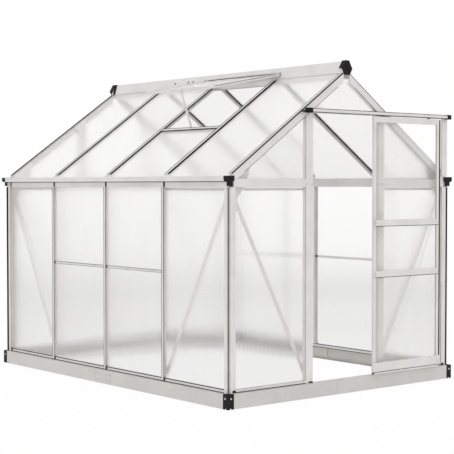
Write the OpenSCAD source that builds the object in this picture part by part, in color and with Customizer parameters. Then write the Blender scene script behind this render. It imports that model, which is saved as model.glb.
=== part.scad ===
// Kit greenhouse: extruded aluminium glazing bars, twin-wall panels, steel base,
// one roof vent propped open and a sliding door hung from a rail across the gable.
// Millimetres. X runs along the door gable, Y from the door to the rear, Z up.

/* [Building] */
// Width over the corner posts, across the door gable
wall_w = 1860; // [1600:10:2400]
// Length over the corner posts
wall_l = 2480; // [1900:10:3700]
// Height of the underside of the eave gutter above the ground
eave_h = 1290; // [1150:5:1600]
// Height of the roof plane at the ridge line, over the roof plane at the wall
roof_rise = 651; // [500:5:800]
// Number of bays along each long wall
bays = 4; // [4:1:6]

/* [Base] */
// Height of the steel base rail
base_h = 87; // [60:1:120]
// How far the base face stands outside the walls
base_out = 22; // [15:1:30]
// Sheet thickness of the base rail
base_t = 2; // [1.5:0.5:3]
// Length of each leg of a corner bracket
bracket_leg = 45; // [35:1:60]
// Length of the plate behind the joint in a long base rail
splice_l = 200; // [140:10:260]

/* [Frame] */
// Depth of the frame bars behind the wall face
frame_d = 30; // [25:1:40]
// Wall thickness of the extruded bars
skin = 2; // [1.5:0.5:3]
// Face width of the wall studs and roof bars
bar_w = 30; // [26:1:36]
// Face width of the gable posts
post_w = 57; // [44:1:60]
// Distance of the gable posts from the middle of the gable
post_x = 305; // [290:5:340]
// Gable face width of the corner posts
corner_gable = 54; // [48:1:62]
// Side face width of the corner posts
corner_side = 38; // [36:1:46]
// Depth of the gable rafters down the gable face
rafter_d = 50; // [42:1:58]
// Height of the sill channels on the base
sill_h = 17; // [14:1:24]
// Height of the gable ties
tie_h = 47; // [40:1:56]
// Height of the mid rails in the middle bays above the ground
mid_z = 740; // [600:5:900]
// Height of a mid rail
mid_h = 17; // [14:1:24]
// Width of the flat braces
brace_w = 25; // [18:1:30]
// Drop of the side wall braces' upper end below the eave stem
brace_drop = 30; // [25:5:120]
// Drop of the gable braces' upper end below the eave stem
gable_drop = 30; // [24:2:140]
// Reach of an eave gusset along the gable
eave_gusset = 120; // [90:5:150]
// Reach of a post gusset along the rafter
post_gusset = 70; // [50:2:150]
// Height of a post gusset below the rafter's top
post_gusset_h = 80; // [75:5:160]
// Thickness of the flat braces and plates
plate_t = 2; // [1.5:0.5:3]

/* [Panels] */
// Thickness of the twin-wall panels
panel_t = 4; // [4:0.5:6]
// Clearance of a panel in its slot, each face
panel_fit = 0.5; // [0.3:0.1:0.8]

/* [Gutter and ridge] */
// Reach of the gutter outside the wall face
gutter_out = 35; // [25:1:45]
// Reach of the gutter inside the wall face
gutter_in = 36; // [34:1:60]
// Height of the gutter trough
gutter_h = 29; // [24:1:40]
// Height of the eave stem under the gutter
stem_h = 34; // [28:1:44]
// Height of the ridge hood above the roof plane
ridge_h = 50; // [42:1:60]
// Half width of the ridge body
ridge_half = 26; // [22:1:32]
// Half width of the ridge hood where it meets the roof
hood_half = 32; // [30:1:40]
// Half width of the flat on top of the hood
hood_flat = 12; // [9:1:20]
// Depth of the hinge slot under the top of the hood
hinge_drop = 32; // [26:1:40]
// Half width of the ridge end caps
ridge_cap = 42; // [38:1:50]
// Length of the ridge caps' cover over the hood
ridge_cover = 26; // [18:1:40]
// Thickness of the end caps
end_t = 8; // [4:1:10]
// Place of the joint in the ridge, as a share of its length from the door
ridge_joint = 0.61; // [0.4:0.01:0.7]

/* [Vent] */
// Length of the vent sash down the slope
vent_l = 560; // [450:10:620]
// Overlap of the sash past the bars on each side
vent_lap = 48; // [36:1:60]
// Slope of the open sash below level, degrees
vent_dip = 11; // [6:1:20]
// Distance of the vent crossbar from the ridge line
cross_x = 486; // [400:2:540]
// Section of the sash bars
sash_s = 20; // [16:1:26]

/* [Door] */
// Width of the door leaf
door_w = 604; // [570:2:680]
// Distance of the open leaf's middle from the doorway's middle
door_open = 505; // [460:1:520]
// Height of the underside of the door rail over the underside of the gutter
rail_up = 407; // [380:1:440]
// Height of the door rail
rail_h = 25; // [22:1:32]
// Depth of the door rail in front of the gable
rail_d = 40; // [36:1:50]
// Gap between the gable and the back wall of the rail
rail_gap = 10; // [8:1:14]
// Width of the door stiles
stile_w = 22; // [18:1:40]
// Depth of the door stiles
stile_d = 14; // [12:1:20]
// Gap between the gable face and the back of the leaf
leaf_gap = 22; // [16:1:24]
// Height of the bottom of the leaf above the ground
leaf_z = 105; // [100:1:130]
// Height of the lower cross rail
cross_lo = 693; // [500:1:800]
// Height of the upper cross rail
cross_hi = 1011; // [900:1:1200]
// Height of a cross rail
cross_h = 42; // [30:1:50]
// Height of the bottom rail
bottom_h = 60; // [40:1:80]
// Reach of the bottom rail past the stiles
bottom_lap = 8; // [0:1:12]
// Length of the caps over the ends of the door rail
rail_cap_l = 31; // [20:1:50]

/* [Hidden] */
fit = 0.3;
seat = 0.2;
gap = 5;
big = 6000;
$fn = 32;

cross_t = 8;
cap_t = 4;
notch = 7;
hw = wall_w / 2;
front_reach = leaf_gap + stile_d + cross_t;
y_front = -(wall_l - (front_reach - base_out)) / 2;
y_rear = y_front + wall_l;
bay = wall_l / bays;
bar_ys = [for (i = [1:bays - 1]) y_front + i * bay];
base_hw = hw + base_out;
base_flange = min(base_out + frame_d, bracket_leg - fit);

slot_0 = skin;
slot_1 = skin + panel_t + 2 * panel_fit;
flange_1 = slot_1 + skin;
panel_0 = skin + panel_fit;
web_half = 3;
flange_half = bar_w / 3;
edge = web_half + 1;

sill_top = base_h + sill_h;
stem_z = eave_h - stem_h;
gutter_top = eave_h + gutter_h;
roof_z0 = gutter_top + roof_rise;
slope = roof_rise / hw;
pitch = atan(slope);
nz = 1 / cos(pitch);
ridge_top = roof_z0 + ridge_h;
bar_end = hw - 25;
panel_end = hw - 5;
ridge_seat = ridge_half + fit;
gutter_wall = hw - max(gutter_in, frame_d + 3);
inner_top = roof_z0 - slope * gutter_wall - frame_d * nz - fit;
tie_end = gutter_wall - skin - seat;
tie_z = stem_z + 1;

corner_in = hw - corner_gable;
corner_slot = corner_in + 20;
side_slot = 22;

header_h = 16;
header_top = roof_z0 - slope * (post_x - post_w / 2) - rafter_d * nz - 1;
header_z = header_top - header_h;

rail_z = eave_h + rail_up;
leaf_top = rail_z - gap;
leaf_x0 = door_open - door_w / 2;
leaf_x1 = door_open + door_w / 2;
leaf_y1 = y_front - leaf_gap;
leaf_y0 = leaf_y1 - stile_d;
rail_y0 = y_front - rail_d;
rail_x0 = -(post_x + 42);
rail_x1 = leaf_x1 + 108;
rail_top = rail_z + rail_h;
support_w = 50;
support_x = rail_x1 - support_w - 1;

vent_bay = 1;
vent_y0 = y_front + vent_bay * bay - vent_lap;
vent_y1 = y_front + (vent_bay + 1) * bay + vent_lap;
slit = 4;
hook_r = 3;
sash_lap = 14;
hood_foot = roof_z(hood_half) + panel_fit;
hinge_z = ridge_top - hinge_drop;
hinge_x = hood_flat + (hood_half - hood_flat) * hinge_drop / (ridge_top - hood_foot);
ridge_foot = roof_z(ridge_half) - frame_d * nz;

alu = [0.80, 0.81, 0.82];
zinc = [0.74, 0.75, 0.76];
clear = [0.93, 0.95, 0.96];
black = [0.10, 0.10, 0.11];

// Height of the roof plane at a distance from the ridge line
function roof_z(x) = roof_z0 - slope * abs(x);

// Profile drawn in (y, z), drawn out along X
module along_x(x0, x1) {
  translate([x0, 0, 0]) rotate([90, 0, 90]) linear_extrude(x1 - x0) children();
}

// Profile drawn in (x, z), drawn out along Y
module along_y(y0, y1) {
  translate([0, y1, 0]) rotate([90, 0, 0]) linear_extrude(y1 - y0) children();
}

module rect(x0, x1, y0, y1) {
  translate([x0, y0]) square([x1 - x0, y1 - y0]);
}

module box(x0, x1, y0, y1, z0, z1) {
  translate([x0, y0, z0]) cube([x1 - x0, y1 - y0, z1 - z0]);
}

// The same piece on both long sides
module both_sides() {
  children();
  mirror([1, 0, 0]) children();
}

// The same piece on both gables
module both_ends() {
  children();
  translate([0, y_front + y_rear, 0]) mirror([0, 1, 0]) children();
}

// The front gable's piece moved to the rear gable
module at_rear() {
  translate([0, y_front + y_rear, 0]) mirror([0, 1, 0]) children();
}

// Band parallel to the right roof slope, n measured down from the roof plane
module slope_band(n0, n1, x0, x1) {
  polygon([
    [x0, roof_z(x0) - n0 * nz], [x1, roof_z(x1) - n0 * nz],
    [x1, roof_z(x1) - n1 * nz], [x0, roof_z(x0) - n1 * nz]
  ]);
}

// Flat strip between two points of a (v, z) plane, lying on the plane u = 0
module strip_2d(v0, z0, v1, z1, w) {
  len = norm([v1 - v0, z1 - z0]);
  translate([v0, z0]) rotate(atan2(z1 - z0, v1 - v0)) rect(0, len, -w / 2, w / 2);
}

// Folded base rail, u inwards from its face
module base_profile() {
  rect(0, base_t, 0, base_h);
  rect(0, base_flange, base_h - base_t, base_h);
  rect(0, base_flange * 0.6, 0, base_t);
}

// Sill channel, u inwards from the wall face, v up from the base
module sill_profile() {
  rect(0, skin, 0, sill_h);
  rect(0, frame_d, 0, skin);
  rect(slot_1, flange_1, 0, sill_h);
  rect(frame_d - skin, frame_d, 0, sill_h);
}

// Glazing bar: cap, panel slots, flange and stem, u inwards, v along the wall
module bar_profile() {
  rect(0, skin, -bar_w / 2, bar_w / 2);
  rect(skin, slot_1, -web_half, web_half);
  rect(slot_1, flange_1, -flange_half, flange_half);
  rect(flange_1, frame_d, -2, 2);
}

// Gable post: cap, panel slots and a box behind, u inwards
module post_profile() {
  rect(0, skin, -post_w / 2, post_w / 2);
  rect(skin, slot_1, -web_half - 1, web_half + 1);
  rect(slot_1, flange_1, -post_w / 2, post_w / 2);
  rect(flange_1, frame_d, -post_w / 2, -post_w / 2 + skin);
  rect(flange_1, frame_d, post_w / 2 - skin, post_w / 2);
  rect(frame_d - skin, frame_d, -post_w / 2, post_w / 2);
}

// Tie and mid-height channel, u inwards, v up, slots above and below
module tie_profile(h) {
  rect(0, skin, 0, h);
  rect(0, frame_d, h / 2 - 2, h / 2 + 2);
  rect(slot_1, flange_1, 0, h);
}

module base_front_rail() {
  color(zinc)
    along_x(-base_hw + bracket_leg, base_hw - bracket_leg)
      translate([y_front - base_out, 0]) base_profile();
}

module base_rear_rail() {
  color(zinc) at_rear()
    along_x(-base_hw + bracket_leg, base_hw - bracket_leg)
      translate([y_front - base_out, 0]) base_profile();
}

// One long side's base rails, butted at mid length
module base_side_pair() {
  mid = (y_front + y_rear) / 2;
  translate([-base_hw, 0, 0]) {
    along_y(y_front - base_out + bracket_leg, mid - fit) base_profile();
    along_y(mid + fit, y_rear + base_out - bracket_leg) base_profile();
  }
}

module base_left_rails() {
  color(zinc) base_side_pair();
}

module base_right_rails() {
  color(zinc) mirror([1, 0, 0]) base_side_pair();
}

module base_splice_plates() {
  mid = (y_front + y_rear) / 2;
  color(zinc) both_sides()
    box(-base_hw + base_t, -base_hw + base_t + 3, mid - splice_l / 2, mid + splice_l / 2,
      base_h * 0.12, base_h * 0.9);
}

module base_corner_brackets() {
  leg = bracket_leg;
  t = base_t;
  tongue = 30;
  color(black) both_ends() both_sides()
    translate([-base_hw, y_front - base_out, 0]) {
      difference() {
        box(0, leg, 0, leg, 0, base_h);
        box(cap_t, leg + 1, cap_t, leg + 1, -1, base_h - cap_t);
        box(leg / 2 - 5, leg / 2 + 5, -1, leg, -1, 7);
        box(-1, leg, leg / 2 - 5, leg / 2 + 5, -1, 7);
      }
      box(cap_t - 1, leg + tongue, t + fit, t + fit + 3, base_h / 2 - 25, base_h / 2 + 25);
      box(t + fit, t + fit + 3, cap_t - 1, leg + tongue, base_h / 2 - 25, base_h / 2 + 25);
    }
}

module side_sills() {
  color(alu) both_sides()
    translate([-hw, 0, base_h])
      along_y(y_front + corner_side + fit, y_rear - corner_side - fit) sill_profile();
}

module gable_sills() {
  in = post_x - post_w / 2 - fit;
  out = post_x + post_w / 2 + fit;
  color(alu) {
    both_ends() both_sides()
      translate([0, y_front, base_h])
        along_x(-corner_in + fit, -out) sill_profile();
    at_rear() translate([0, y_front, base_h]) along_x(-in, in) sill_profile();
  }
}

// Corner post in plan, u from the long wall's face, v from the gable's face
module corner_profile() {
  g = corner_gable;
  s = corner_side;
  groove = 14;
  rect(groove, g, 0, skin);
  rect(groove, groove + skin, 0, flange_1);
  rect(g - 24, g - 20, skin, slot_1);
  rect(slot_1, g, slot_1, flange_1);
  rect(0, skin, groove, s);
  rect(0, flange_1, groove, groove + skin);
  rect(skin, slot_1, side_slot - 4, side_slot);
  rect(slot_1, flange_1, slot_1, s);
  rect(flange_1, frame_d, s - 4, s);
  rect(g - 4, g, flange_1, frame_d);
}

module corner_posts() {
  color(alu) both_ends() both_sides()
    translate([-hw, y_front, base_h]) linear_extrude(stem_z - base_h) corner_profile();
}

module wall_studs() {
  color(alu) both_sides()
    for (y = bar_ys)
      translate([-hw, y, 0]) {
        translate([0, 0, sill_top]) linear_extrude(stem_z - sill_top) bar_profile();
        box(0, skin, -bar_w / 2, bar_w / 2, stem_z - 1, eave_h - fit);
      }
}

// Everything above the underside of the gable rafters
module over_rafters() {
  z_top = roof_z0 + 200;
  z_foot = roof_z(hw) - rafter_d * nz - seat;
  z_apex = roof_z0 - rafter_d * nz - seat;
  along_y(y_front - 100, y_front + 200)
    polygon([[-hw, z_foot], [0, z_apex], [hw, z_foot], [hw, z_top], [-hw, z_top]]);
}

module post_pair() {
  difference() {
    for (s = [-1, 1])
      translate([s * post_x, y_front, base_h])
        rotate([0, 0, 90]) mirror([0, 1, 0]) linear_extrude(roof_z0 - base_h) post_profile();
    over_rafters();
  }
}

module door_posts() {
  color(alu) post_pair();
}

module rear_posts() {
  color(alu) at_rear() post_pair();
}

// Gutter trough over an eave stem that holds the wall panels, left wall
module eave_beam() {
  difference() {
    translate([-hw, 0, 0])
      along_y(y_front, y_rear) {
        rect(0, skin, stem_z, eave_h + 1);
        rect(slot_1, flange_1, stem_z, eave_h + 1);
        rect(frame_d - skin, frame_d, stem_z, eave_h + 1);
        rect(-gutter_out, hw - gutter_wall, eave_h, eave_h + skin);
        rect(-gutter_out, -gutter_out + skin, eave_h, gutter_top);
        rect(-gutter_out, -gutter_out + 6, gutter_top - skin, gutter_top);
        rect(hw - gutter_wall, hw - gutter_wall + skin, eave_h, inner_top);
      }
    for (y = bar_ys)
      box(-hw - 1, -hw + skin + seat, y - bar_w / 2 - fit, y + bar_w / 2 + fit, stem_z - 1, eave_h);
  }
}

module left_eave_gutter() {
  color(alu) eave_beam();
}

module right_eave_gutter() {
  color(alu) mirror([1, 0, 0]) eave_beam();
}

// End cap of the gutter: a trough plate with cut lower corners over a stem plate
module gutter_end_caps() {
  out = -hw - gutter_out - 2;
  in = -gutter_wall + skin;
  color(black) both_ends() both_sides()
    along_y(y_front - end_t, y_front) {
      polygon([
        [out, gutter_top + 2], [in, gutter_top + 2], [in, eave_h + 6], [in - 8, eave_h - 2],
        [out + 10, eave_h - 2], [out, eave_h + 8]
      ]);
      rect(-hw - 14, -hw + frame_d - 6, stem_z + 6, eave_h);
    }
}

// Ridge in section: hollow hood over the panel edges and two legs between the bar ends
module ridge_profile() {
  floor_z = roof_z(ridge_half);
  outer = [
    [0, ridge_top], [hood_flat, ridge_top], [hood_half, hood_foot],
    [ridge_half, floor_z + panel_fit], [ridge_half, ridge_foot],
    [ridge_half - skin, ridge_foot], [ridge_half - skin, floor_z + 3], [0, floor_z + 3]
  ];
  inner = [
    [0, ridge_top - 3], [hood_flat - 1.5, ridge_top - 3],
    [hood_half - 5, floor_z + 6], [0, floor_z + 6]
  ];
  for (m = [0, 1])
    mirror([m, 0]) difference() {
      polygon(outer);
      polygon(inner);
      rect(-1, 0, 0, ridge_top + 1);
    }
}

// Two lengths of ridge, with the slot for the sash hook in the left face
module ridge_beam() {
  joint = y_front + wall_l * ridge_joint;
  color(alu)
    difference() {
      union() {
        along_y(y_front, joint - fit) ridge_profile();
        along_y(joint + fit, y_rear) ridge_profile();
      }
      along_y(vent_y0 - 1, vent_y1 + 1)
        rect(-hood_half - 2, -hinge_x + 8, hinge_z - slit / 2, hinge_z + slit / 2);
    }
}

// Six-sided cap on the ridge end, with a cover over the hood's last stretch
module ridge_end_caps() {
  top = ridge_top + 5;
  wide = ridge_top - 45;
  flat = hood_flat + 2;
  half = [[flat, top], [ridge_cap, wide], [ridge_half - 5, ridge_foot + 22]];
  color(black) both_ends() {
    along_y(y_front - end_t, y_front)
      polygon(concat(half, [for (i = [2:-1:0]) [-half[i][0], half[i][1]]]));
    along_y(y_front - 1, y_front + ridge_cover)
      difference() {
        polygon([[-flat, top], [flat, top], [ridge_cap, wide], [-ridge_cap, wide]]);
        polygon([
          [1.5 - flat, top - 2.5], [flat - 1.5, top - 2.5],
          [ridge_cap - 3, wide - 1], [3 - ridge_cap, wide - 1]
        ]);
      }
  }
}

module gable_rafters() {
  color(alu) both_ends() both_sides()
    difference() {
      along_y(y_front, y_front + frame_d) slope_band(0, rafter_d, ridge_seat, bar_end);
      along_y(y_front + 14, y_front + frame_d + 1) slope_band(slot_0, slot_1, 1, hw);
      along_y(y_front + slot_0, y_front + slot_1) slope_band(rafter_d - 15, rafter_d + 1, 1, hw);
      along_y(y_front + flange_1, y_front + frame_d + 1)
        slope_band(flange_1, rafter_d - skin, 1, hw);
      along_y(y_front - 1, y_front + notch) slope_band(-1, notch, 1, hw);
      box(tie_end, hw, y_front - 1, y_front + frame_d + 1, 0, inner_top + fit);
    }
}

module roof_bars() {
  color(alu) both_sides()
    for (y = bar_ys) {
      along_y(y - bar_w / 2, y + bar_w / 2) slope_band(0, skin, ridge_seat, bar_end);
      along_y(y - web_half, y + web_half) slope_band(skin, slot_1, ridge_seat, bar_end);
      along_y(y - flange_half, y + flange_half) slope_band(slot_1, flange_1, ridge_seat, bar_end);
      along_y(y - 2, y + 2) slope_band(flange_1, frame_d, ridge_seat, bar_end);
    }
}

module gable_ties() {
  in = post_x - post_w / 2 - fit;
  out = post_x + post_w / 2 + fit;
  color(alu) {
    both_ends() both_sides()
      difference() {
        translate([0, y_front, tie_z]) along_x(-tie_end, -out) tie_profile(tie_h);
        over_rafters();
      }
    at_rear() translate([0, y_front, tie_z]) along_x(-in, in) tie_profile(tie_h);
  }
}

module door_header() {
  in = post_x - post_w / 2 - fit;
  color(alu)
    translate([0, y_front, header_z])
      along_x(-in, in) {
        rect(0, skin, 0, header_h);
        rect(0, frame_d, 0, skin);
        rect(slot_1, flange_1, 0, header_h);
        rect(frame_d - skin, frame_d, 0, header_h);
      }
}

module wall_mid_rails() {
  color(alu) both_sides()
    for (i = [0:bays - 3])
      translate([-hw, 0, mid_z])
        along_y(bar_ys[i] + bar_w / 2 + fit, bar_ys[i + 1] - bar_w / 2 - fit) {
          rect(0, skin, 0, mid_h);
          rect(slot_1, flange_1, 0, mid_h);
          rect(0, flange_1, mid_h / 2 - 2, mid_h / 2 + 2);
        }
}

strap_z0 = stem_z - 20;
strap_z1 = stem_z - 5;

module wall_straps() {
  color(alu) both_ends() both_sides()
    box(-hw + frame_d, -hw + frame_d + plate_t,
      y_front + corner_side - 4, bar_ys[0] + 8, strap_z0, strap_z1);
}

gusset_z0 = stem_z - eave_gusset * 0.55;
gusset_x1 = corner_in - eave_gusset * 1.1;

module gable_straps() {
  x_in = corner_in - eave_gusset * 0.68 - fit;
  color(alu) both_ends() both_sides()
    box(-x_in, -post_x, y_front + frame_d, y_front + frame_d + plate_t, strap_z0, strap_z1);
}

module side_braces() {
  color(alu) both_ends() both_sides()
    translate([-hw + frame_d, 0, 0]) along_x(0, plate_t)
      strip_2d(y_front + corner_side - 2, stem_z - brace_drop, bar_ys[0], sill_top + brace_w, brace_w);
}

// Gable braces over the gussets, on a spacer at the post
module gable_braces() {
  y0 = y_front + frame_d + plate_t + seat;
  x_foot = -post_x - 4;
  z_foot = sill_top + brace_w;
  color(alu) both_ends() both_sides() {
    along_y(y0, y0 + plate_t)
      strip_2d(-corner_in - 2, stem_z - gable_drop, x_foot, z_foot, brace_w);
    along_y(y_front + frame_d, y0 + 1) translate([x_foot, z_foot + 8]) circle(8);
  }
}

module eave_gussets() {
  out = hw - frame_d - plate_t - 1;
  color(alu) both_ends() both_sides()
    along_y(y_front + frame_d, y_front + frame_d + plate_t)
      polygon([
        [out, gusset_z0], [corner_in - eave_gusset * 0.28, gusset_z0],
        [corner_in - eave_gusset * 0.62, stem_z - eave_gusset * 0.13],
        [corner_in - eave_gusset, stem_z + eave_gusset * 0.58],
        [gusset_x1, stem_z + eave_gusset * 1.08],
        [gusset_x1, roof_z(gusset_x1) - 8], [tie_end, roof_z(tie_end) - 8],
        [tie_end, stem_z - 1], [out, stem_z - 1]
      ]);
}

module post_gussets() {
  x0 = post_x - post_w / 2 + 1;
  x1 = post_x + post_w / 2 - 1;
  x2 = post_x + post_gusset;
  color(alu) both_ends() both_sides()
    along_y(y_front + frame_d, y_front + frame_d + plate_t)
      polygon([
        [x0, roof_z(x1) - post_gusset_h], [x1, roof_z(x1) - post_gusset_h],
        [x2, roof_z(x2) - post_gusset_h * 0.3],
        [x2, roof_z(x2) - 8], [x0, roof_z(x0) - 8]
      ]);
}

// One long wall's panels, left wall
module wall_panel_row() {
  u0 = -hw + panel_0;
  u1 = u0 + panel_t;
  z0 = base_h + skin + 1;
  z1 = eave_h - 3;
  ends = y_front + side_slot + 1;
  for (i = [0:bays - 1]) {
    y0 = i == 0 ? ends : bar_ys[i - 1] + edge;
    y1 = i == bays - 1 ? y_rear - side_slot - 1 : bar_ys[i] - edge;
    if (i == 0 || i == bays - 1)
      box(u0, u1, y0, y1, z0, z1);
    else {
      box(u0, u1, y0, y1, z0, mid_z + mid_h / 2 - 3);
      box(u0, u1, y0, y1, mid_z + mid_h / 2 + 3, z1);
    }
  }
}

module left_wall_panels() {
  color(clear) wall_panel_row();
}

module right_wall_panels() {
  color(clear) mirror([1, 0, 0]) wall_panel_row();
}

gable_p0 = y_front + panel_0;
tie_mid = tie_z + tie_h / 2;
gable_top_n = rafter_d - 12;

// Side bay of a gable: panel under the tie and panel up to the rafter
module gable_side_bays() {
  x_in = post_x + web_half + 2;
  x_tie = tie_end - 1;
  both_sides() {
    box(-corner_slot + 1, -x_in, gable_p0, gable_p0 + panel_t, base_h + skin + 1, tie_mid - 3);
    along_y(gable_p0, gable_p0 + panel_t)
      polygon([
        [-x_tie, tie_mid + 3], [-x_in, tie_mid + 3],
        [-x_in, roof_z(x_in) - gable_top_n * nz], [-x_tie, roof_z(x_tie) - gable_top_n * nz]
      ]);
  }
}

// Middle bay panel up to the ridge, from a given foot
module gable_peak(z0) {
  x_in = post_x - web_half - 2;
  x_top = ridge_half - 2;
  z_side = roof_z(x_in) - gable_top_n * nz;
  z_peak = roof_z(x_top) - gable_top_n * nz;
  along_y(gable_p0, gable_p0 + panel_t)
    polygon([
      [-x_in, z0], [x_in, z0], [x_in, z_side],
      [x_top, z_peak], [-x_top, z_peak], [-x_in, z_side]
    ]);
}

module front_gable_panels() {
  color(clear) {
    gable_side_bays();
    gable_peak(header_z + skin + 1);
  }
}

module rear_gable_panels() {
  x_in = post_x - web_half - 2;
  color(clear) at_rear() {
    gable_side_bays();
    box(-x_in, x_in, gable_p0, gable_p0 + panel_t, base_h + skin + 1, tie_mid - 3);
    gable_peak(tie_mid + 3);
  }
}

// Roof panel of bay i on the right slope, from x0 down to the gutter
module roof_panel(i, x0) {
  y0 = i == 0 ? y_front + 15 : bar_ys[i - 1] + edge;
  y1 = i == bays - 1 ? y_rear - 15 : bar_ys[i] - edge;
  along_y(y0, y1) slope_band(panel_0, panel_0 + panel_t, x0, panel_end);
}

module left_roof_panels() {
  color(clear) mirror([1, 0, 0])
    for (i = [0:bays - 1])
      roof_panel(i, i == vent_bay ? cross_x + 8 : ridge_seat + 1);
}

module right_roof_panels() {
  color(clear)
    for (i = [0:bays - 1])
      roof_panel(i, ridge_seat + 1);
}

// Sash axes: u along the sash from its hinge, w up from its underside
module at_sash() {
  translate([-hinge_x, 0, hinge_z]) rotate([0, -vent_dip, 0]) mirror([1, 0, 0]) children();
}

module vent_frame() {
  s = sash_s;
  color(alu) at_sash()
    difference() {
      union() {
        box(sash_lap, vent_l, vent_y0, vent_y1, -s, 0);
        along_y(vent_y0, vent_y1) rect(-7, sash_lap + 1, -1, 1);
        along_y(vent_y0, vent_y1) translate([-9, 0]) circle(hook_r);
        box(sash_lap, sash_lap + 2, vent_y0, vent_y1, -1, 1);
      }
      box(sash_lap + s, vent_l - s, vent_y0 + s, vent_y1 - s, -s - 1, 2);
      box(sash_lap + s - 8, vent_l - s + 8, vent_y0 + s - 8, vent_y1 - s + 8,
        -skin - panel_t - 2 * panel_fit, -skin);
    }
}

module vent_pane() {
  s = sash_s;
  color(clear) at_sash()
    box(sash_lap + s - 7, vent_l - s + 7, vent_y0 + s - 7, vent_y1 - s + 7,
      -skin - panel_t - panel_fit, -skin - panel_fit);
}

module vent_crossbar() {
  y0 = bar_ys[vent_bay - 1] + bar_w / 2 + fit;
  y1 = bar_ys[vent_bay] - bar_w / 2 - fit;
  color(alu) mirror([1, 0, 0])
    along_y(y0, y1) {
      slope_band(0, skin, cross_x - 12, cross_x + 16);
      slope_band(slot_1, flange_1, cross_x - 12, cross_x + 16);
      slope_band(0, frame_d, cross_x - 12, cross_x - 12 + 3);
      slope_band(0, flange_1, cross_x, cross_x + 4);
    }
}

// Flat stay from under the sash's free edge, past the crossbar's upper edge
module vent_stay() {
  mid = (bar_ys[vent_bay - 1] + bar_ys[vent_bay]) / 2;
  u = vent_l - 14;
  stay_t = 3;
  top = [
    hinge_x + u * cos(vent_dip) - sash_s * sin(vent_dip),
    hinge_z - u * sin(vent_dip) - sash_s * cos(vent_dip) - seat - stay_t / 2 - 1
  ];
  rest = [cross_x - 12 - stay_t / 2 - 1, roof_z(cross_x - 12)];
  foot = rest + (rest - top) * 0.2;
  color(alu)
    along_y(mid - 9, mid + 9) mirror([1, 0]) {
      strip_2d(top[0], top[1], foot[0], foot[1], stay_t);
      translate(top) rotate(-vent_dip) rect(-22, 3, -stay_t / 2, stay_t / 2);
    }
}

// Rail open below, with a top flange back to the gable face
module rail_profile() {
  back = y_front - rail_gap;
  rect(rail_y0, y_front, rail_top - 3, rail_top);
  rect(rail_y0, rail_y0 + skin, rail_z, rail_top);
  rect(back - skin, back, rail_z, rail_top);
  rect(rail_y0, rail_y0 + 10, rail_z, rail_z + skin);
  rect(back - 10, back, rail_z, rail_z + skin);
}

module door_rail() {
  color(alu) along_x(rail_x0, rail_x1) rail_profile();
}

module door_rail_support() {
  x0 = support_x;
  x1 = support_x + support_w;
  z0 = gutter_top + 6;
  color(alu)
    difference() {
      box(x0, x1, y_front - rail_gap, y_front, z0, rail_top - 3);
      box(x0 + skin, x1 - skin, y_front - rail_gap + skin, y_front + 1, z0 + 60, rail_top);
    }
}

// Cap round the front, top and underside of the rail's end, u inwards from the end
module rail_cap() {
  front = rail_y0 - 2;
  back = y_front - rail_gap;
  along_x(-cap_t, 0) rect(front, back, rail_z - 2, rail_top + 2);
  along_x(-1, rail_cap_l) {
    rect(front, rail_y0 - seat, rail_z - 2, rail_top + 2);
    rect(front, back, rail_top + seat, rail_top + 2);
    rect(front, back, rail_z - 2, rail_z - seat);
  }
}

// Caps on the rail ends, the left one with a tapered nose
module door_rail_caps() {
  nose = rail_x0 - cap_t;
  color(black) {
    translate([rail_x0, 0, 0]) rail_cap();
    translate([rail_x1, 0, 0]) mirror([1, 0, 0]) rail_cap();
    along_y(rail_y0 + 4, y_front - rail_gap - 6)
      polygon([
        [nose + 1, rail_z], [nose + 1, rail_z + 17], [nose - 36, rail_z + 8], [nose - 36, rail_z + 3]
      ]);
  }
}

slot_mid = (leaf_y0 + leaf_y1) / 2;
pane_y0 = slot_mid - panel_t / 2;
pane_half = panel_t / 2 + panel_fit;

// Door stile in plan, open towards the panes, u into the leaf
module stile_profile() {
  difference() {
    rect(0, stile_w, leaf_y0, leaf_y1);
    rect(stile_w - 12, stile_w + 1, slot_mid - pane_half, slot_mid + pane_half);
    rect(skin, stile_w - 14, leaf_y0 + skin, leaf_y1 - skin);
  }
}

module door_stiles() {
  color(alu) {
    translate([leaf_x0, 0, leaf_z]) linear_extrude(leaf_top - leaf_z) stile_profile();
    translate([leaf_x1, 0, leaf_z]) mirror([1, 0, 0])
      linear_extrude(leaf_top - leaf_z) stile_profile();
  }
}

// Cross rail: a face plate over the stiles and a web between the panes
module cross_rail(z, h, web, in) {
  along_x(leaf_x0 + in, leaf_x1 - in)
    rect(leaf_y0 - cross_t, leaf_y0 - seat, z, z + h);
  along_x(leaf_x0 + stile_w + fit, leaf_x1 - stile_w - fit)
    rect(leaf_y0 - cross_t, leaf_y1, z + web - 2, z + web + 2);
}

top_h = 36;

module door_cross_rails() {
  color(alu) {
    cross_rail(leaf_z, bottom_h, 2, -bottom_lap);
    cross_rail(cross_lo, cross_h, cross_h / 2, stile_w / 2);
    cross_rail(cross_hi, cross_h, cross_h / 2, stile_w / 2);
    along_x(leaf_x0 + stile_w + fit, leaf_x1 - stile_w - fit)
      difference() {
        rect(leaf_y0, leaf_y1, leaf_top - top_h, leaf_top);
        rect(slot_mid - pane_half, slot_mid + pane_half, leaf_top - top_h - 1, leaf_top - top_h + 12);
      }
  }
}

module door_panes() {
  x0 = leaf_x0 + stile_w - 11;
  x1 = leaf_x1 - stile_w + 11;
  lo = cross_lo + cross_h / 2;
  hi = cross_hi + cross_h / 2;
  color(clear) {
    box(x0, x1, pane_y0, pane_y0 + panel_t, leaf_z + 5, lo - 3);
    box(x0, x1, pane_y0, pane_y0 + panel_t, lo + 3, hi - 3);
    box(x0, x1, pane_y0, pane_y0 + panel_t, hi + 3, leaf_top - top_h + 11);
  }
}

rail_mid = (rail_y0 + y_front - rail_gap) / 2;
wheel_r = 9;

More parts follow.
